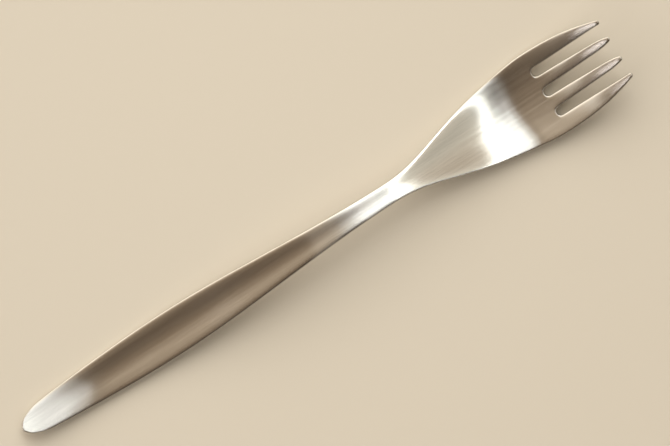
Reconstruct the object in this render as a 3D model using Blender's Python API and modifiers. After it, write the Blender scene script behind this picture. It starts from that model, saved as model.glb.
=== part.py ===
"""Dessert fork, stamped from one piece of stainless steel.

Metres, +Z up. The fork lies on its back, hollow side up, with its tines towards +X.
"""

import math

import bmesh
import bpy
import numpy as np
from mathutils import Matrix, Vector
from mathutils.geometry import interpolate_bezier

# Lengths of the plan, from the end of the handle to the tips of the tines
END_TO_WIDEST = 0.0469
WIDEST_TO_NECK = 0.0660
NECK_TO_SHOULDER = 0.0276
SHOULDER_TO_HEAD = 0.0201
HEAD_TO_TIP = 0.0224

# Widths of the plan
END_WIDTH = 0.0064  # of the tapering handle, carried on to its end
HANDLE_WIDTH = 0.0117
NECK_WIDTH = 0.0050
SHOULDER_WIDTH = 0.0172
HEAD_WIDTH = 0.0236
TIP_SPAN = 0.0169  # over the outer tips

# How fast half the width changes along the plan
END_FLARE = 0.10
SHOULDER_FLARE = 0.25
TIP_SWEEP = 0.40

# Round end of the handle
END_ROUND = 0.0064  # its length
END_POWER = 0.54  # an ellipse at 0.5, more pointed above

# Slots and tines
SLOT_LENGTH = 0.0216
SLOT_WIDTH = 0.00255  # at the root
INNER_TINE_WIDTH = 0.0035  # at the root
POINT_LENGTH = 0.0025
POINT_WIDTH = 0.0023  # where the point of an inner tine begins
TIP_WIDTH = 0.0009
TIP_ROUND = 0.0005
INNER_TIP_PITCH = 0.0059

# Side profile, along the rim
END_TO_REST = 0.0258
REST_TO_ARCH = 0.0659
ARCH_TO_BELLY = 0.0614
END_RISE = 0.0024
ARCH_RISE = 0.00755
TIP_RISE = 0.0075
END_SLOPE = -0.168  # rise over run
TIP_SLOPE = 0.405

# Hollow of the upper side below its rim
SCOOP_LENGTH = 0.0300  # from the end of the handle to its full hollow
HANDLE_HOLLOW = 0.00045
NECK_HOLLOW = 0.0001
HEAD_HOLLOW = 0.0011
TIP_HOLLOW = 0.0004

# Thickness of the steel
END_THICKNESS = 0.0017
HANDLE_THICKNESS = 0.0021
NECK_THICKNESS = 0.0029
HEAD_THICKNESS = 0.0019
TIP_THICKNESS = 0.0011

# Edges
EDGE_BAND = 0.00045  # rolled over along the edges
EDGE_FALL = 0.0002  # of that roll
CRISP_BAND = 0.0003  # round the end of the handle and behind the slots
MOST_BAND = 0.25  # of a tine's width
REST_DEPTH = 0.00006  # worn flat where the fork rests

SLOT_RADIUS = SLOT_WIDTH / 2
THICKEST = max(END_THICKNESS, HANDLE_THICKNESS, NECK_THICKNESS, HEAD_THICKNESS)

# Places along the fork
WIDEST_X = END_TO_WIDEST
NECK_X = WIDEST_X + WIDEST_TO_NECK
SHOULDER_X = NECK_X + NECK_TO_SHOULDER
HEAD_X = SHOULDER_X + SHOULDER_TO_HEAD
TIP_X = HEAD_X + HEAD_TO_TIP
ROOT_X = TIP_X - SLOT_LENGTH
POINT_X = TIP_X - POINT_LENGTH
REST_X = END_TO_REST
ARCH_X = REST_X + REST_TO_ARCH
BELLY_X = ARCH_X + ARCH_TO_BELLY

# Rows of the sheet's grid, across it
END_ROWS = (0.5, 1.1, 1.9, 2.8)  # in lengths of the round end
END_BOW = 0.32  # of the first row, in lengths of the round end
BOW_REACH = 0.8  # where the bow has faded to a third, in the same lengths
HANDLE_START = 3.8
HANDLE_ROWS = 10
HEAD_ROWS = 14
HEAD_STOP = 7  # behind the slots, in crisp bands
ROOT_DEPTH = 0.18  # of a slot's middle behind its root, in slot radii
ROOT_SIDES = 0.45  # of the slots' sides in front of it
ROOT_LENGTH = 1.6  # from there to where the slots run straight
TINE_ROWS = 4

# Lines of the grid, along it, counted from the middle out
SLOT_MIDDLES = (0, 5)
TINE_EDGES = (1, 4, 6, 9)
OUTLINE = 9
GAPS = ({0, 1}, {4, 5}, {5, 6})

LINE_STEPS = 200  # in each span of a smooth line
FULL_ROLL = 2  # where the edges are rolled in full, in lengths of the round end


def knot(x, value, slope=0, before=0.33, after=0.33):
    """A point of a smooth line, with its slope and how far it reaches into the spans beside it."""
    return Vector((x, value)), Vector((1, slope)), before, after


def smooth_line(*knots):
    """A smooth function of x through the knots."""
    xs, values = [], []
    for start, end in zip(knots, knots[1:]):
        first, leaving, _, after = start
        last, arriving, before, _ = end
        span = last.x - first.x
        handles = first + leaving * after * span, last - arriving * before * span
        for point in interpolate_bezier(first, *handles, last, LINE_STEPS):
            xs.append(point.x)
            values.append(point.y)
    return lambda x: float(np.interp(x, xs, values))


side_line = smooth_line(
    knot(0, END_WIDTH / 2, slope=END_FLARE),
    knot(WIDEST_X, HANDLE_WIDTH / 2, before=0.30, after=0.30),
    knot(NECK_X, NECK_WIDTH / 2, before=0.35, after=0.36),
    knot(SHOULDER_X, SHOULDER_WIDTH / 2, slope=SHOULDER_FLARE, before=0.50, after=0.20),
    knot(HEAD_X, HEAD_WIDTH / 2, before=0.20, after=0.20),
    knot(TIP_X, TIP_SPAN / 2, slope=-TIP_SWEEP, before=0.38),
)
rim_height = smooth_line(
    knot(0, END_RISE, slope=END_SLOPE),
    knot(REST_X, 0, before=0.28, after=0.45),
    knot(ARCH_X, ARCH_RISE, before=0.375, after=0.505),
    knot(BELLY_X, 0, before=0.345, after=0.24),
    knot(TIP_X, TIP_RISE, slope=TIP_SLOPE, before=0.355),
)
hollow = smooth_line(
    knot(0, 0, after=0.75),
    knot(SCOOP_LENGTH, HANDLE_HOLLOW, before=0.35),
    knot(WIDEST_X, HANDLE_HOLLOW, after=0.40),
    knot(NECK_X, NECK_HOLLOW, after=0.40),
    knot(BELLY_X, HEAD_HOLLOW, before=0.40, after=0.40),
    knot(TIP_X, TIP_HOLLOW, before=0.40),
)
thickness = smooth_line(
    knot(0, END_THICKNESS),
    knot(WIDEST_X, HANDLE_THICKNESS),
    knot(NECK_X, NECK_THICKNESS),
    knot(ROOT_X, HEAD_THICKNESS),
    knot(TIP_X, TIP_THICKNESS),
)
rim_band = smooth_line(knot(0, CRISP_BAND), knot(FULL_ROLL * END_ROUND, EDGE_BAND))
rim_fall = smooth_line(knot(0, 0), knot(FULL_ROLL * END_ROUND, EDGE_FALL))


def half_width(x):
    share = min(x / END_ROUND, 1)
    return side_line(x) * (share * (2 - share)) ** END_POWER


def mix(a, b, share):
    return a + (b - a) * share


def head_share(x):
    """0 along the handle, 1 along the tines, and smoothly between over the head."""
    share = min(max((x - NECK_X) / (ROOT_X - NECK_X), 0), 1)
    return share * share * (3 - 2 * share)


def dish(x, share):
    """Share of the hollow's depth at a share of half the width. Its rim is rounder along the handle."""
    rounded = (1 + math.cos(math.pi * share)) / 2
    return mix(rounded, 1 - share * share, head_share(x))


def tine_lines(x):
    """y of half of the lines across the tines at x."""
    along = (x - ROOT_X) / SLOT_LENGTH
    if x < POINT_X:
        width = mix(INNER_TINE_WIDTH, POINT_WIDTH, (x - ROOT_X) / (POINT_X - ROOT_X))
    else:
        width = mix(POINT_WIDTH, TIP_WIDTH, (x - POINT_X) / POINT_LENGTH)
    middle = mix(SLOT_RADIUS + INNER_TINE_WIDTH / 2, INNER_TIP_PITCH / 2, along)
    inner, outer = middle - width / 2, middle + width / 2
    inside = mix(3 * SLOT_RADIUS + INNER_TINE_WIDTH, TIP_SPAN / 2 - TIP_WIDTH, along)
    outside = half_width(x)
    band = min(EDGE_BAND, MOST_BAND * width)
    outside_band = min(EDGE_BAND, MOST_BAND * (outside - inside))
    return [
        0,
        inner,
        inner + band,
        outer - band,
        outer,
        (outer + inside) / 2,
        inside,
        inside + outside_band,
        outside - outside_band,
        outside,
    ]


def body_lines(x):
    """The same lines behind the slots: even over the handle, led to the tines over the head."""
    width = half_width(x)
    inside = width - rim_band(x)
    even = [inside * line / (OUTLINE - 1) for line in range(OUTLINE)] + [width]
    root = tine_lines(ROOT_X)
    share = head_share(x)
    return [mix(y, y_root * width / root[OUTLINE], share) for y, y_root in zip(even, root)]


def straight_row(x, lines):
    return [x] * (OUTLINE + 1), lines


def end_row(x):
    """A row near the end of the handle, bowed to follow its round."""
    bow = END_BOW * END_ROUND * math.exp(-((x / (BOW_REACH * END_ROUND)) ** 2))
    ys = body_lines(x + bow)
    xs = [x + bow * (y / ys[OUTLINE]) ** 2 for y in ys]
    if x == 0:
        ys = [half_width(x) for x in xs]
    return xs, ys


def inset_row(row, distance):
    """A row moved in from the row along the round end."""
    edge = [Vector(point) for point in zip(*row)]
    inner = []
    for line, point in enumerate(edge[:OUTLINE]):
        behind = edge[line - 1] if line else edge[1] * Vector((1, -1))
        run = (edge[line + 1] - behind).normalized()
        inner.append(point + distance * Vector((run.y, -run.x)))
    side_x = edge[OUTLINE].x + distance
    xs = [point.x for point in inner] + [side_x]
    return xs, [point.y for point in inner] + [half_width(side_x)]


def plan_rows():
    """The plan as rows of x and y for half of the lines, and which row meets the slots."""
    rows = [end_row(0), inset_row(end_row(0), CRISP_BAND)]
    rows += [end_row(lengths * END_ROUND) for lengths in END_ROWS]
    for x in np.linspace(HANDLE_START * END_ROUND, NECK_X, HANDLE_ROWS):
        rows.append(straight_row(x, body_lines(x)))
    for x in np.linspace(NECK_X, ROOT_X - HEAD_STOP * CRISP_BAND, HEAD_ROWS + 1)[1:]:
        rows.append(straight_row(x, body_lines(x)))
    rows.append(straight_row(ROOT_X - CRISP_BAND, body_lines(ROOT_X)))

    root_row = len(rows)
    sides, deep = ROOT_X + ROOT_SIDES * SLOT_RADIUS, ROOT_X - ROOT_DEPTH * SLOT_RADIUS
    xs = [deep if line in SLOT_MIDDLES else sides for line in range(OUTLINE + 1)]
    rows.append((xs, tine_lines(ROOT_X)))
    straight = sides + ROOT_LENGTH * SLOT_RADIUS
    rows.append(straight_row(straight, tine_lines(straight)))
    for x in np.linspace(straight, POINT_X, TINE_ROWS + 1)[1:]:
        rows.append(straight_row(x, tine_lines(x)))
    rows.append(straight_row(TIP_X - TIP_ROUND, tine_lines(TIP_X - TIP_ROUND)))
    xs = [TIP_X - TIP_ROUND / 2 * (line in TINE_EDGES) for line in range(OUTLINE + 1)]
    rows.append((xs, tine_lines(TIP_X)))
    return rows, root_row


def sheet_mesh():
    """The middle of the steel: a grid pulled into the plan, bent, dished, slotted and rolled at its edges."""
    rows, root_row = plan_rows()
    sheet = bmesh.new()
    bmesh.ops.create_grid(
        sheet, x_segments=len(rows) - 1, y_segments=2 * OUTLINE, size=OUTLINE
    )
    weights = sheet.verts.layers.deform.verify()
    places = {}
    for vert in sheet.verts:
        row = round((vert.co.x / OUTLINE + 1) / 2 * (len(rows) - 1))
        line = round(vert.co.y)
        places[vert] = row, abs(line)
        xs, ys = rows[row]
        x, y = xs[abs(line)], ys[abs(line)]
        z = rim_height(x) - hollow(x) * dish(x, y / ys[OUTLINE])
        vert.co = x, math.copysign(y, line), z
        vert[weights][0] = thickness(x) / THICKEST
    slots = []
    for face in sheet.faces:
        first_row = min(places[vert][0] for vert in face.verts)
        lines = {places[vert][1] for vert in face.verts}
        if first_row >= root_row and lines in GAPS:
            slots.append(face)
        face.smooth = True
    bmesh.ops.delete(sheet, geom=slots, context="FACES")

    # Every edge is rolled down but the roots of the slots
    for vert in sheet.verts:
        row, line = places[vert]
        if vert.is_boundary and (row != root_row or line == OUTLINE):
            vert.co.z -= rim_fall(vert.co.x)
    mesh = bpy.data.meshes.new("fork")
    sheet.to_mesh(mesh)
    sheet.free()
    return mesh


def brushed_steel():
    material = bpy.data.materials.new("brushed_steel")
    material.use_nodes = True
    shader = material.node_tree.nodes["Principled BSDF"]
    shader.inputs["Base Color"].default_value = (0.70, 0.66, 0.58, 1)
    shader.inputs["Metallic"].default_value = 1
    shader.inputs["Roughness"].default_value = 0.32
    return material


def new_collection(name):
    collection = bpy.data.collections.new(name)
    bpy.context.scene.collection.children.link(collection)
    return collection


def shaped_points(obj):
    bpy.context.view_layer.update()
    shaped = obj.evaluated_get(bpy.context.evaluated_depsgraph_get())
    return np.array([vert.co[:] for vert in shaped.to_mesh().vertices])


def lay_down(fork):
    """Tilts, centres and lowers the fork until its handle and its head both press on z = 0."""
    points = shaped_points(fork)
    handle = min(points[points[:, 0] < NECK_X], key=lambda point: point[2])
    head = min(points[points[:, 0] > NECK_X], key=lambda point: point[2])
    tilt = math.atan2(head[2] - handle[2], head[0] - handle[0])
    fork.data.transform(Matrix.Rotation(tilt, 4, "Y"))
    lowest = shaped_points(fork)[:, 2].min()
    fork.data.transform(Matrix.Translation((-TIP_X / 2, 0, -lowest - REST_DEPTH)))


def stamping(name, mesh):
    """An object that makes rounded steel of the sheet."""
    obj = bpy.data.objects.new(name, mesh)
    if not obj.vertex_groups:
        obj.vertex_groups.new(name="thickness")
    steel = obj.modifiers.new("steel", "SOLIDIFY")
    steel.thickness = THICKEST
    steel.offset = 0
    steel.vertex_group = "thickness"
    rounding = obj.modifiers.new("rounding", "SUBSURF")
    rounding.levels = 1
    rounding.render_levels = 1
    return obj


def block(name, low, high):
    """A cutter box between two corners."""
    low, high = Vector(low), Vector(high)
    box = bmesh.new()
    bmesh.ops.create_cube(box, size=1)
    bmesh.ops.scale(box, verts=box.verts, vec=high - low)
    bmesh.ops.translate(box, verts=box.verts, vec=(low + high) / 2)
    mesh = bpy.data.meshes.new(name)
    box.to_mesh(mesh)
    box.free()
    cutter = bpy.data.objects.new(name, mesh)
    cutter.hide_render = True
    cutter.display_type = "WIRE"
    return cutter


def cut(obj, cutter, operation):
    boolean = obj.modifiers.new(cutter.name, "BOOLEAN")
    boolean.operation = operation
    boolean.object = cutter
    boolean.solver = "EXACT"


def main():
    for obj in list(bpy.data.objects):
        bpy.data.objects.remove(obj)
    parts = new_collection("dessert_fork")
    cutters = new_collection("cutters")

    mesh = sheet_mesh()
    mesh.materials.append(brushed_steel())
    body = stamping("handle_and_head", mesh)
    parts.objects.link(body)
    lay_down(body)

    # The worn flats
    table = block("table", (-TIP_X, -HEAD_WIDTH, -THICKEST), (TIP_X, HEAD_WIDTH, 0))
    cutters.objects.link(table)
    cut(body, table, "DIFFERENCE")

    # The tines, parted from the head where the slots run straight
    root_x = ROOT_X + SLOT_RADIUS - TIP_X / 2
    top = 2 * (ARCH_RISE + TIP_RISE)
    front = block("front", (root_x, -HEAD_WIDTH, -THICKEST), (TIP_X, HEAD_WIDTH, top))
    cutters.objects.link(front)
    cut(body, front, "DIFFERENCE")
    slot_y = tine_lines(ROOT_X)[SLOT_MIDDLES[1]]
    sides = [-HEAD_WIDTH, -slot_y, 0, slot_y, HEAD_WIDTH]
    for number, (left, right) in enumerate(zip(sides, sides[1:]), start=1):
        tine = stamping(f"tine_{number}", mesh)
        parts.objects.link(tine)
        space = block(f"tine_{number}_space", (root_x, left, -THICKEST), (TIP_X, right, top))
        cutters.objects.link(space)
        cut(tine, space, "INTERSECT")


main()
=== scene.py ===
import math
import bmesh
import bpy
import numpy as np
from mathutils import Matrix, Vector
from mathutils.geometry import interpolate_bezier


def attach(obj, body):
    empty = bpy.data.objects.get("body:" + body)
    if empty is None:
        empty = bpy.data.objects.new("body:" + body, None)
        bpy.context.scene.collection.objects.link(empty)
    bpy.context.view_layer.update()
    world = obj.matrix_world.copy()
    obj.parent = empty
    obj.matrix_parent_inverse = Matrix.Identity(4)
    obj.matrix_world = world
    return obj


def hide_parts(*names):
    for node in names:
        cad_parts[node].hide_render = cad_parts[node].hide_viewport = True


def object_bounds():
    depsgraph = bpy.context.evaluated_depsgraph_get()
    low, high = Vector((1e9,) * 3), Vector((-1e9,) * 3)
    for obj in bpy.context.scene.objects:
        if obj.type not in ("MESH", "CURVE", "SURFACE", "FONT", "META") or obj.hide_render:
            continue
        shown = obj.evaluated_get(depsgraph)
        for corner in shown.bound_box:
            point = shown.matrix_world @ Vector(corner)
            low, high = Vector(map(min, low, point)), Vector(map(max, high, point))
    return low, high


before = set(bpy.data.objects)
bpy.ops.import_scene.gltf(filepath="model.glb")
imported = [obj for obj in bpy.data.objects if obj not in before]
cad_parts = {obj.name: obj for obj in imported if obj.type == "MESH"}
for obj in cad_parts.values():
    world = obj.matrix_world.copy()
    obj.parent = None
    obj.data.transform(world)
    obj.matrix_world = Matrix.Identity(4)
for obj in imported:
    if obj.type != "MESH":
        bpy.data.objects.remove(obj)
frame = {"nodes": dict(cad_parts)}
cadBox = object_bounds()
scene = bpy.context.scene
scene.view_settings.view_transform = "Standard"
print("frame loaded:", ", ".join(frame["nodes"]))


# fork, in metres, the same sizes as the solids
fork = {
    "endToWidest": 0.0469,
    "widestToNeck": 0.0660,
    "neckToShoulder": 0.0276,
    "shoulderToHead": 0.0201,
    "headToTip": 0.0224,
    "endRound": 0.0064,  # length of the round end
    "endPower": 0.54,  # 0.5 is an ellipse, more is more pointed
    "endWidth": 0.0064,  # of the tapering handle, carried on to its end
    "handleWidth": 0.0117,
    "neckWidth": 0.0050,
    "shoulderWidth": 0.0172,
    "headWidth": 0.0236,
    "tipSpan": 0.0169,  # over the outer tips
    "endFlare": 0.10,  # change of half the width along the fork
    "shoulderFlare": 0.25,
    "tipSweep": 0.40,
    "slotLength": 0.0216,
    "slotWidth": 0.00255,  # at the root
    "innerTineWidth": 0.0035,  # at the root
    "pointLength": 0.0025,
    "pointWidth": 0.0023,
    "tipWidth": 0.0009,
    "tipRound": 0.0005,
    "innerTipPitch": 0.0059,
    "endToRest": 0.0258,
    "restToArch": 0.0659,
    "archToBelly": 0.0614,
    "endRise": 0.0024,
    "archRise": 0.00755,
    "tipRise": 0.0075,
    "endSlope": -0.168,  # rise over run
    "tipSlope": 0.405,
    "scoopLength": 0.0300,  # from the end of the handle to its full hollow
    "handleHollow": 0.00045,
    "neckHollow": 0.0001,
    "headHollow": 0.0011,
    "tipHollow": 0.0004,
    "endThickness": 0.0017,
    "handleThickness": 0.0021,
    "neckThickness": 0.0029,
    "headThickness": 0.0019,
    "tipThickness": 0.0011,
    "edgeBand": 0.00045,  # rolled over along the edges
    "edgeFall": 0.0002,  # of that roll
    "crispBand": 0.0003,  # round the end of the handle and behind the slots
    "mostBand": 0.25,  # of a tine's width
    "fullRoll": 2,  # where the edges are rolled in full, in lengths of the round end
    "restDepth": 0.00006,  # worn flat where the fork rests
    # rows across the sheet
    "endRows": (0.5, 1.1, 1.9, 2.8),  # in lengths of the round end
    "endBow": 0.32,  # of the first row, in the same lengths
    "bowReach": 0.8,  # where the bow has faded to a third
    "handleStart": 3.8,  # of the even rows, in the same lengths
    "handleRows": 10,
    "headRows": 14,
    "headStop": 7,  # behind the slots, in crisp bands
    "rootDepth": 0.18,  # of a slot's middle behind its root, in slot radii
    "rootSides": 0.45,  # of the slots' sides in front of it
    "rootLength": 1.6,  # from there to where the slots run straight
    "tineRows": 4,
    "lineSteps": 200,  # in each span of a smooth line
    "smoothing": 3,  # levels
}
slotRadius = fork["slotWidth"] / 2
widestX = fork["endToWidest"]
neckX = widestX + fork["widestToNeck"]
shoulderX = neckX + fork["neckToShoulder"]
headX = shoulderX + fork["shoulderToHead"]
tipX = headX + fork["headToTip"]
rootX = tipX - fork["slotLength"]
pointX = tipX - fork["pointLength"]
restX = fork["endToRest"]
archX = restX + fork["restToArch"]
bellyX = archX + fork["archToBelly"]
thickest = max(fork[key] for key in fork if key.endswith("Thickness"))

# lines along the sheet, counted from the middle out
slotMiddles = (0, 5)
tineEdges = (1, 4, 6, 9)
outline = 9
gaps = ({0, 1}, {4, 5}, {5, 6})


def knot(x, value, slope=0, before=0.33, after=0.33):
    return Vector((x, value)), Vector((1, slope)), before, after


def smoothLine(*knots):
    xs, values = [], []
    for start, end in zip(knots, knots[1:]):
        first, leaving, _, after = start
        last, arriving, before, _ = end
        span = last.x - first.x
        handles = first + leaving * after * span, last - arriving * before * span
        for point in interpolate_bezier(first, *handles, last, fork["lineSteps"]):
            xs.append(point.x)
            values.append(point.y)
    return lambda x: float(np.interp(x, xs, values))


sideLine = smoothLine(
    knot(0, fork["endWidth"] / 2, slope=fork["endFlare"]),
    knot(widestX, fork["handleWidth"] / 2, before=0.30, after=0.30),
    knot(neckX, fork["neckWidth"] / 2, before=0.35, after=0.36),
    knot(shoulderX, fork["shoulderWidth"] / 2, slope=fork["shoulderFlare"], before=0.50, after=0.20),
    knot(headX, fork["headWidth"] / 2, before=0.20, after=0.20),
    knot(tipX, fork["tipSpan"] / 2, slope=-fork["tipSweep"], before=0.38),
)
rimHeight = smoothLine(
    knot(0, fork["endRise"], slope=fork["endSlope"]),
    knot(restX, 0, before=0.28, after=0.45),
    knot(archX, fork["archRise"], before=0.375, after=0.505),
    knot(bellyX, 0, before=0.345, after=0.24),
    knot(tipX, fork["tipRise"], slope=fork["tipSlope"], before=0.355),
)
hollow = smoothLine(
    knot(0, 0, after=0.75),
    knot(fork["scoopLength"], fork["handleHollow"], before=0.35),
    knot(widestX, fork["handleHollow"], after=0.40),
    knot(neckX, fork["neckHollow"], after=0.40),
    knot(bellyX, fork["headHollow"], before=0.40, after=0.40),
    knot(tipX, fork["tipHollow"], before=0.40),
)
thickness = smoothLine(
    knot(0, fork["endThickness"]),
    knot(widestX, fork["handleThickness"]),
    knot(neckX, fork["neckThickness"]),
    knot(rootX, fork["headThickness"]),
    knot(tipX, fork["tipThickness"]),
)
rolledX = fork["fullRoll"] * fork["endRound"]
rimBand = smoothLine(knot(0, fork["crispBand"]), knot(rolledX, fork["edgeBand"]))
rimFall = smoothLine(knot(0, 0), knot(rolledX, fork["edgeFall"]))


def halfWidth(x):
    share = min(x / fork["endRound"], 1)
    return sideLine(x) * (share * (2 - share)) ** fork["endPower"]


def mix(a, b, share):
    return a + (b - a) * share


def tineLines(x):  # y of half of the lines across the tines
    along = (x - rootX) / fork["slotLength"]
    if x < pointX:
        width = mix(fork["innerTineWidth"], fork["pointWidth"], (x - rootX) / (pointX - rootX))
    else:
        width = mix(fork["pointWidth"], fork["tipWidth"], (x - pointX) / fork["pointLength"])
    middle = mix(slotRadius + fork["innerTineWidth"] / 2, fork["innerTipPitch"] / 2, along)
    inner, outer = middle - width / 2, middle + width / 2
    rootEdge = 3 * slotRadius + fork["innerTineWidth"]
    inside = mix(rootEdge, fork["tipSpan"] / 2 - fork["tipWidth"], along)
    outside = halfWidth(x)
    band = min(fork["edgeBand"], fork["mostBand"] * width)
    outsideBand = min(fork["edgeBand"], fork["mostBand"] * (outside - inside))
    return [
        0,
        inner,
        inner + band,
        outer - band,
        outer,
        (outer + inside) / 2,
        inside,
        inside + outsideBand,
        outside - outsideBand,
        outside,
    ]


def headShare(x):  # 0 along the handle, 1 along the tines
    share = min(max((x - neckX) / (rootX - neckX), 0), 1)
    return share * share * (3 - 2 * share)


def dish(x, share):  # 1 in the middle, 0 at the rim, with a rounder rim along the handle
    rounded = (1 + math.cos(math.pi * share)) / 2
    return mix(rounded, 1 - share * share, headShare(x))


def bodyLines(x):  # even over the handle, led to the tines over the head
    width = halfWidth(x)
    inside = width - rimBand(x)
    even = [inside * line / (outline - 1) for line in range(outline)] + [width]
    root = tineLines(rootX)
    share = headShare(x)
    return [mix(y, rootY * width / root[outline], share) for y, rootY in zip(even, root)]


def straightRow(x, lines):
    return [x] * (outline + 1), lines


def endRow(x):  # bowed to follow the round end of the handle
    length = fork["endRound"]
    bow = fork["endBow"] * length * math.exp(-((x / (fork["bowReach"] * length)) ** 2))
    ys = bodyLines(x + bow)
    xs = [x + bow * (y / ys[outline]) ** 2 for y in ys]
    if x == 0:
        ys = [halfWidth(x) for x in xs]
    return xs, ys


def insetRow(row, distance):  # moved in from the round end
    edge = [Vector(point) for point in zip(*row)]
    inner = []
    for line, point in enumerate(edge[:outline]):
        behind = edge[line - 1] if line else edge[1] * Vector((1, -1))
        run = (edge[line + 1] - behind).normalized()
        inner.append(point + distance * Vector((run.y, -run.x)))
    sideX = edge[outline].x + distance
    return [point.x for point in inner] + [sideX], [point.y for point in inner] + [halfWidth(sideX)]


def planRows():
    band, length = fork["crispBand"], fork["endRound"]
    rows = [endRow(0), insetRow(endRow(0), band)]
    rows += [endRow(lengths * length) for lengths in fork["endRows"]]
    for x in np.linspace(fork["handleStart"] * length, neckX, fork["handleRows"]):
        rows.append(straightRow(x, bodyLines(x)))
    for x in np.linspace(neckX, rootX - fork["headStop"] * band, fork["headRows"] + 1)[1:]:
        rows.append(straightRow(x, bodyLines(x)))
    rows.append(straightRow(rootX - band, bodyLines(rootX)))

    rootRow = len(rows)
    sides = rootX + fork["rootSides"] * slotRadius
    deep = rootX - fork["rootDepth"] * slotRadius
    xs = [deep if line in slotMiddles else sides for line in range(outline + 1)]
    rows.append((xs, tineLines(rootX)))
    straight = sides + fork["rootLength"] * slotRadius
    rows.append(straightRow(straight, tineLines(straight)))
    for x in np.linspace(straight, pointX, fork["tineRows"] + 1)[1:]:
        rows.append(straightRow(x, tineLines(x)))
    beforeTip = tipX - fork["tipRound"]
    rows.append(straightRow(beforeTip, tineLines(beforeTip)))
    xs = [tipX - fork["tipRound"] / 2 * (line in tineEdges) for line in range(outline + 1)]
    rows.append((xs, tineLines(tipX)))
    return rows, rootRow


def makeSheet():
    rows, rootRow = planRows()
    sheet = bmesh.new()
    bmesh.ops.create_grid(sheet, x_segments=len(rows) - 1, y_segments=2 * outline, size=outline)
    weights = sheet.verts.layers.deform.verify()
    places = {}
    for vert in sheet.verts:
        row = round((vert.co.x / outline + 1) / 2 * (len(rows) - 1))
        line = round(vert.co.y)
        places[vert] = row, abs(line)
        xs, ys = rows[row]
        x, y = xs[abs(line)], ys[abs(line)]
        z = rimHeight(x) - hollow(x) * dish(x, y / ys[outline])
        vert.co = x, math.copysign(y, line), z
        vert[weights][0] = thickness(x) / thickest
    slots = []
    for face in sheet.faces:
        firstRow = min(places[vert][0] for vert in face.verts)
        lines = {places[vert][1] for vert in face.verts}
        if firstRow >= rootRow and lines in gaps:
            slots.append(face)
        face.smooth = True
    bmesh.ops.delete(sheet, geom=slots, context="FACES")
    for vert in sheet.verts:  # every edge is rolled down but the roots of the slots
        row, line = places[vert]
        if vert.is_boundary and (row != rootRow or line == outline):
            vert.co.z -= rimFall(vert.co.x)
    mesh = bpy.data.meshes.new("forkSheet")
    sheet.to_mesh(mesh)
    sheet.free()
    return mesh


def shapedPoints(obj):
    bpy.context.view_layer.update()
    shaped = obj.evaluated_get(bpy.context.evaluated_depsgraph_get())
    return np.array([vert.co[:] for vert in shaped.to_mesh().vertices])


def layDown(obj):  # until the handle and the head both touch z = 0
    points = shapedPoints(obj)
    handle = min(points[points[:, 0] < neckX], key=lambda point: point[2])
    head = min(points[points[:, 0] > neckX], key=lambda point: point[2])
    tilt = math.atan2(head[2] - handle[2], head[0] - handle[0])
    obj.data.transform(Matrix.Rotation(tilt, 4, "Y"))
    lowest = shapedPoints(obj)[:, 2].min()
    obj.data.transform(Matrix.Translation((-tipX / 2, 0, -lowest - fork["restDepth"])))


def makeFork():
    piece = bpy.data.objects.new("forkSteel", makeSheet())
    scene.collection.objects.link(piece)
    piece.vertex_groups.new(name="thickness")
    steel = piece.modifiers.new("steel", "SOLIDIFY")
    steel.thickness = thickest
    steel.offset = 0
    steel.vertex_group = "thickness"
    rounding = piece.modifiers.new("rounding", "SUBSURF")
    rounding.levels = fork["smoothing"]
    rounding.render_levels = fork["smoothing"]
    layDown(piece)
    bpy.context.view_layer.update()
    shaped = piece.evaluated_get(bpy.context.evaluated_depsgraph_get())
    rough = piece.data
    piece.data = bpy.data.meshes.new_from_object(shaped)
    piece.modifiers.clear()
    bpy.data.meshes.remove(rough)
    points = np.array([vert.co[:] for vert in piece.data.vertices])
    points[:, 2] = np.maximum(points[:, 2], 0)  # the worn flats
    low, high = np.array(cadBox)
    points -= points.min(axis=0)
    points *= (high - low) / points.max(axis=0)  # fills the solids' box exactly
    piece.data.vertices.foreach_set("co", (points + low).ravel())
    return piece


forkPiece = makeFork()
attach(forkPiece, "root")
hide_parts(*frame["nodes"])
print("fork shaped")


# satin steel, brushed along the fork
satin = {
    "colour": (0.72, 0.69, 0.635, 1),
    "shadeColour": (0.62, 0.59, 0.54, 1),
    "roughness": 0.21,
    "roughnessSpread": 0.05,
    "anisotropy": 0.94,
    "fineScale": (25, 3200, 300),  # streaks per metre along, across and up
    "fineDetail": 3,
    "broadScale": (10, 700, 70),
    "broadDetail": 4,
    "smudgeScale": (45, 45, 45),
    "smudgeDetail": 5,
    "grain": 0.6,  # strength of the finer octaves
    "broadShare": 0.45,  # of the broad streaks in the brushing
    "smudgeShare": 0.4,  # of the smudges in the wear
    "wearRange": (0.3, 0.7),  # of the noise, over the spread of roughness
    "tintRange": (0.36, 0.64),  # of the noise, from one colour to the other
    "brushHeight": 0.000001,
}


def addNode(tree, kind, place, **settings):
    node = tree.nodes.new(kind)
    node.location = place
    for key, value in settings.items():
        setattr(node, key, value)
    return node


def streaks(tree, coords, kind, place):
    mapping = addNode(tree, "ShaderNodeMapping", place)
    mapping.inputs["Scale"].default_value = satin[kind + "Scale"]
    noise = addNode(tree, "ShaderNodeTexNoise", (place[0] + 200, place[1]))
    noise.inputs["Scale"].default_value = 1
    noise.inputs["Detail"].default_value = satin[kind + "Detail"]
    noise.inputs["Roughness"].default_value = satin["grain"]
    tree.links.new(coords, mapping.inputs["Vector"])
    tree.links.new(mapping.outputs["Vector"], noise.inputs["Vector"])
    return noise.outputs["Fac"]


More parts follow.
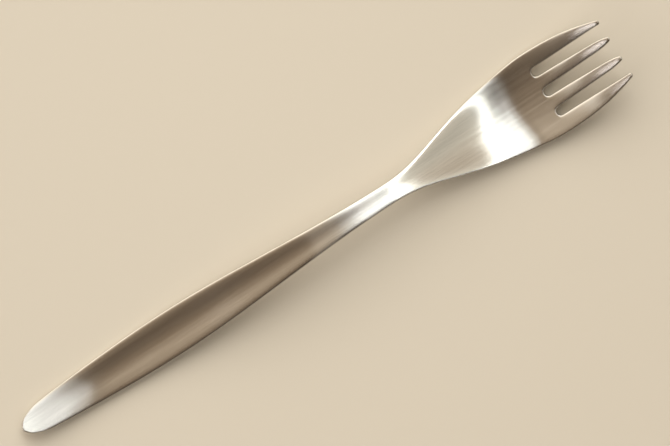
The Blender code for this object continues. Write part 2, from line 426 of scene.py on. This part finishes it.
def makeSatin():
    material = bpy.data.materials.new("satinSteel")
    material.use_nodes = True
    tree = material.node_tree
    links = tree.links
    shader = tree.nodes["Principled BSDF"]
    shader.inputs["Metallic"].default_value = 1
    shader.inputs["Anisotropic"].default_value = satin["anisotropy"]
    coords = addNode(tree, "ShaderNodeTexCoord", (-1300, 0)).outputs["Object"]
    across = addNode(tree, "ShaderNodeCombineXYZ", (-300, -500))  # the gloss spreads across the brushing
    across.inputs["Y"].default_value = 1
    links.new(across.outputs["Vector"], shader.inputs["Tangent"])

    fine = streaks(tree, coords, "fine", (-1100, 300))
    broad = streaks(tree, coords, "broad", (-1100, 0))
    smudge = streaks(tree, coords, "smudge", (-1100, -300))

    brush = addNode(tree, "ShaderNodeMix", (-650, 200), data_type="FLOAT")
    brush.inputs["Factor"].default_value = satin["broadShare"]
    links.new(fine, brush.inputs["A"])
    links.new(broad, brush.inputs["B"])
    wear = addNode(tree, "ShaderNodeMix", (-650, -150), data_type="FLOAT")
    wear.inputs["Factor"].default_value = satin["smudgeShare"]
    links.new(brush.outputs["Result"], wear.inputs["A"])
    links.new(smudge, wear.inputs["B"])

    rough = addNode(tree, "ShaderNodeMapRange", (-420, -150))
    rough.inputs["From Min"].default_value, rough.inputs["From Max"].default_value = satin["wearRange"]
    rough.inputs["To Min"].default_value = satin["roughness"] - satin["roughnessSpread"] / 2
    rough.inputs["To Max"].default_value = satin["roughness"] + satin["roughnessSpread"] / 2
    links.new(wear.outputs["Result"], rough.inputs["Value"])
    links.new(rough.outputs["Result"], shader.inputs["Roughness"])

    contrast = addNode(tree, "ShaderNodeMapRange", (-650, 450))
    contrast.inputs["From Min"].default_value, contrast.inputs["From Max"].default_value = satin["tintRange"]
    links.new(brush.outputs["Result"], contrast.inputs["Value"])
    tint = addNode(tree, "ShaderNodeMix", (-420, 300), data_type="RGBA")
    tint.inputs["A"].default_value = satin["shadeColour"]
    tint.inputs["B"].default_value = satin["colour"]
    links.new(contrast.outputs["Result"], tint.inputs["Factor"])
    links.new(tint.outputs["Result"], shader.inputs["Base Color"])

    bump = addNode(tree, "ShaderNodeBump", (-420, -400))
    bump.inputs["Strength"].default_value = 1
    bump.inputs["Distance"].default_value = satin["brushHeight"]
    links.new(brush.outputs["Result"], bump.inputs["Height"])
    links.new(bump.outputs["Normal"], shader.inputs["Normal"])
    return material


forkPiece.data.materials.append(makeSatin())
print("steel brushed")


# camera straight above, turned so that the fork lies across the picture
view = {
    "turn": math.radians(32.78),  # fork above the picture's right
    "middle": (0.00585, 0.0012),  # point of the fork's plane in mid picture
    "width": 0.1737,  # of that plane in the picture
    "lens": 400,
    "sensor": 36,
}
cameraData = bpy.data.cameras.new("viewCamera")
cameraData.lens = view["lens"]
cameraData.sensor_width = view["sensor"]
camera = bpy.data.objects.new("viewCamera", cameraData)
planeZ = (cadBox[0][2] + cadBox[1][2]) / 2
camera.location = (*view["middle"], planeZ + view["width"] * view["lens"] / view["sensor"])
camera.rotation_euler = (0, 0, -view["turn"])
scene.collection.objects.link(camera)
scene.camera = camera
print("camera set")


# plain pale floor
floor = {"size": 12, "colour": (0.66, 0.60, 0.50, 1), "roughness": 0.9}
floorMesh = bpy.data.meshes.new("floor")
plane = bmesh.new()
bmesh.ops.create_grid(plane, x_segments=1, y_segments=1, size=floor["size"] / 2)
plane.to_mesh(floorMesh)
plane.free()
floorPiece = bpy.data.objects.new("floor", floorMesh)
floorPaint = bpy.data.materials.new("paleFloor")
floorPaint.use_nodes = True
floorShader = floorPaint.node_tree.nodes["Principled BSDF"]
floorShader.inputs["Base Color"].default_value = floor["colour"]
floorShader.inputs["Roughness"].default_value = floor["roughness"]
floorMesh.materials.append(floorPaint)
scene.collection.objects.link(floorPiece)
print("floor laid")


# soft boxes: where they hang, in degrees from overhead towards +X and +Y
softBoxes = {
    # white bands on the end, the neck and the head
    "window": {"along": (16.5, 22.3), "across": (-19, 46), "glow": 3.0, "colour": (0.96, 1, 0.98)},
    "flank": {"along": (22.3, 27), "across": (13, 46), "glow": 3.0, "colour": (0.96, 1, 0.98)},
    "sash": {"along": (12.5, 16.5), "across": (-6.5, 46), "glow": 1.95, "colour": (0.88, 0.97, 1)},
    "ledge": {"along": (8.5, 12.5), "across": (-3, 46), "glow": 1.7, "colour": (0.88, 0.95, 1)},
    "blind": {"along": (6.8, 8.5), "across": (-6, 46), "glow": 1.4, "colour": (0.88, 0.95, 1)},
    "hem": {"along": (2.8, 6.8), "across": (-6, 46), "glow": 0.68, "colour": (0.90, 0.97, 1)},
    "veil": {"along": (-3, 2.8), "across": (0, 46), "glow": 0.10, "colour": (1, 0.90, 0.74)},
    # neck, from near by
    "neckPanel": {
        "along": (-6, 5),
        "across": (-45, 45),
        "far": 0.1,
        "glow": 0.12,
        "colour": (1, 0.95, 0.86),
    },
    "neckRim": {
        "along": (6, 14),
        "across": (-30, -3),
        "over": 0.0136,
        "far": 0.06,
        "glow": 0.45,
        "colour": (1, 0.98, 0.95),
    },
    # upper edges, back of the head, end of the handle and its lower half
    "rimPanel": {"along": (-35, 28), "across": (46, 78), "glow": 1.2, "colour": (1, 0.99, 0.95)},
    "wall": {"along": (22, 39), "across": (-30, 2), "glow": 0.62, "colour": (1, 0.985, 0.87)},
    "fold": {"along": (24.3, 39), "across": (2, 35), "glow": 0.26, "colour": (1, 0.985, 0.87)},
    "endSide": {"along": (-75, -48), "across": (-8, 60), "glow": 2.4, "colour": (1, 0.98, 0.95)},
    "sidePanel": {"along": (-28, -4), "across": (12, 40), "glow": 0.31, "colour": (1, 0.86, 0.70)},
    # lower half of the head, tines and their tips
    "headPanel": {
        "along": (-27.5, -8),
        "across": (24, 46),
        "over": 0.065,
        "far": 0.2,
        "glow": 0.58,
        "colour": (0.96, 1, 0.94),
    },
    "tinePanel": {"along": (-32, -28.5), "across": (9, 36), "glow": 0.9, "colour": (1, 0.98, 0.92)},
    "endPanel": {"along": (-40.5, -34.2), "across": (-6.6, -0.2), "glow": 3.7, "colour": (1, 0.97, 0.99)},
    # floor and shadow
    "bank": {
        "along": (0, 60),
        "across": (20, 70),
        "glow": 1.3,
        "colour": (1, 0.98, 0.95),
        "glossy": False,
    },
}
usualBox = {
    "over": 0,  # x that the degrees are counted from, in metres
    "far": 2.5,  # metres out from there
    "glossy": True,  # mirrored in the steel
}


def addSoftBox(name, box):
    box = {**usualBox, **box}
    far = box["far"]
    sides = [[math.radians(angle) for angle in box[way]] for way in ("along", "across")]
    back = Vector([math.tan((low + high) / 2) for low, high in sides] + [1]).normalized()
    side = (Vector((1, 0, 0)) - back * back.x).normalized()
    turn = Matrix((side, back.cross(side), back)).transposed()
    lamp = bpy.data.lights.new(name, "AREA")
    lamp.shape = "RECTANGLE"
    lamp.size, lamp.size_y = [2 * far * math.tan((high - low) / 2) for low, high in sides]
    lamp.energy = box["glow"] * math.pi * lamp.size * lamp.size_y
    lamp.color = box["colour"]
    obj = bpy.data.objects.new(name, lamp)
    obj.matrix_world = Matrix.Translation(Vector((box["over"], 0, 0)) + back * far) @ turn.to_4x4()
    obj.visible_camera = False
    obj.visible_glossy = box["glossy"]
    scene.collection.objects.link(obj)


for name, box in softBoxes.items():
    addSoftBox(name, box)


# room light, warm and dim, paler on one side and low down on the other
room = {
    "paleSide": (-0.10, 0.89, 0.42),
    "shades": {  # 0 away from the pale side, 1 towards it
        0.24: (0.340, 0.285, 0.225, 1),
        0.36: (0.055, 0.043, 0.034, 1),
        0.48: (0.020, 0.014, 0.009, 1),
        0.567: (0.055, 0.038, 0.025, 1),
        0.60: (0.125, 0.086, 0.056, 1),
        0.654: (0.22, 0.153, 0.100, 1),
        0.71: (0.245, 0.173, 0.113, 1),
        0.82: (0.31, 0.228, 0.150, 1),
        0.90: (0.42, 0.320, 0.220, 1),
        0.97: (1.10, 0.950, 0.740, 1),
    },
}
world = bpy.data.worlds.new("room")
scene.world = world
world.use_nodes = True
roomTree = world.node_tree
direction = addNode(roomTree, "ShaderNodeTexCoord", (-900, 0))
facing = addNode(roomTree, "ShaderNodeVectorMath", (-700, 0), operation="DOT_PRODUCT")
facing.inputs[1].default_value = Vector(room["paleSide"]).normalized()
ramp = addNode(roomTree, "ShaderNodeValToRGB", (-300, 0))
shades = ramp.color_ramp.elements
for place, shade in room["shades"].items():
    shades.new(place).color = shade
shades.remove(shades[0])  # the two that a new ramp has
shades.remove(shades[-1])
spread = addNode(roomTree, "ShaderNodeMapRange", (-500, 0))
spread.inputs["From Min"].default_value = -1
roomTree.links.new(direction.outputs["Generated"], facing.inputs[0])
roomTree.links.new(facing.outputs["Value"], spread.inputs["Value"])
roomTree.links.new(spread.outputs["Result"], ramp.inputs["Fac"])
roomTree.links.new(ramp.outputs["Color"], roomTree.nodes["Background"].inputs["Color"])
print("lights on")
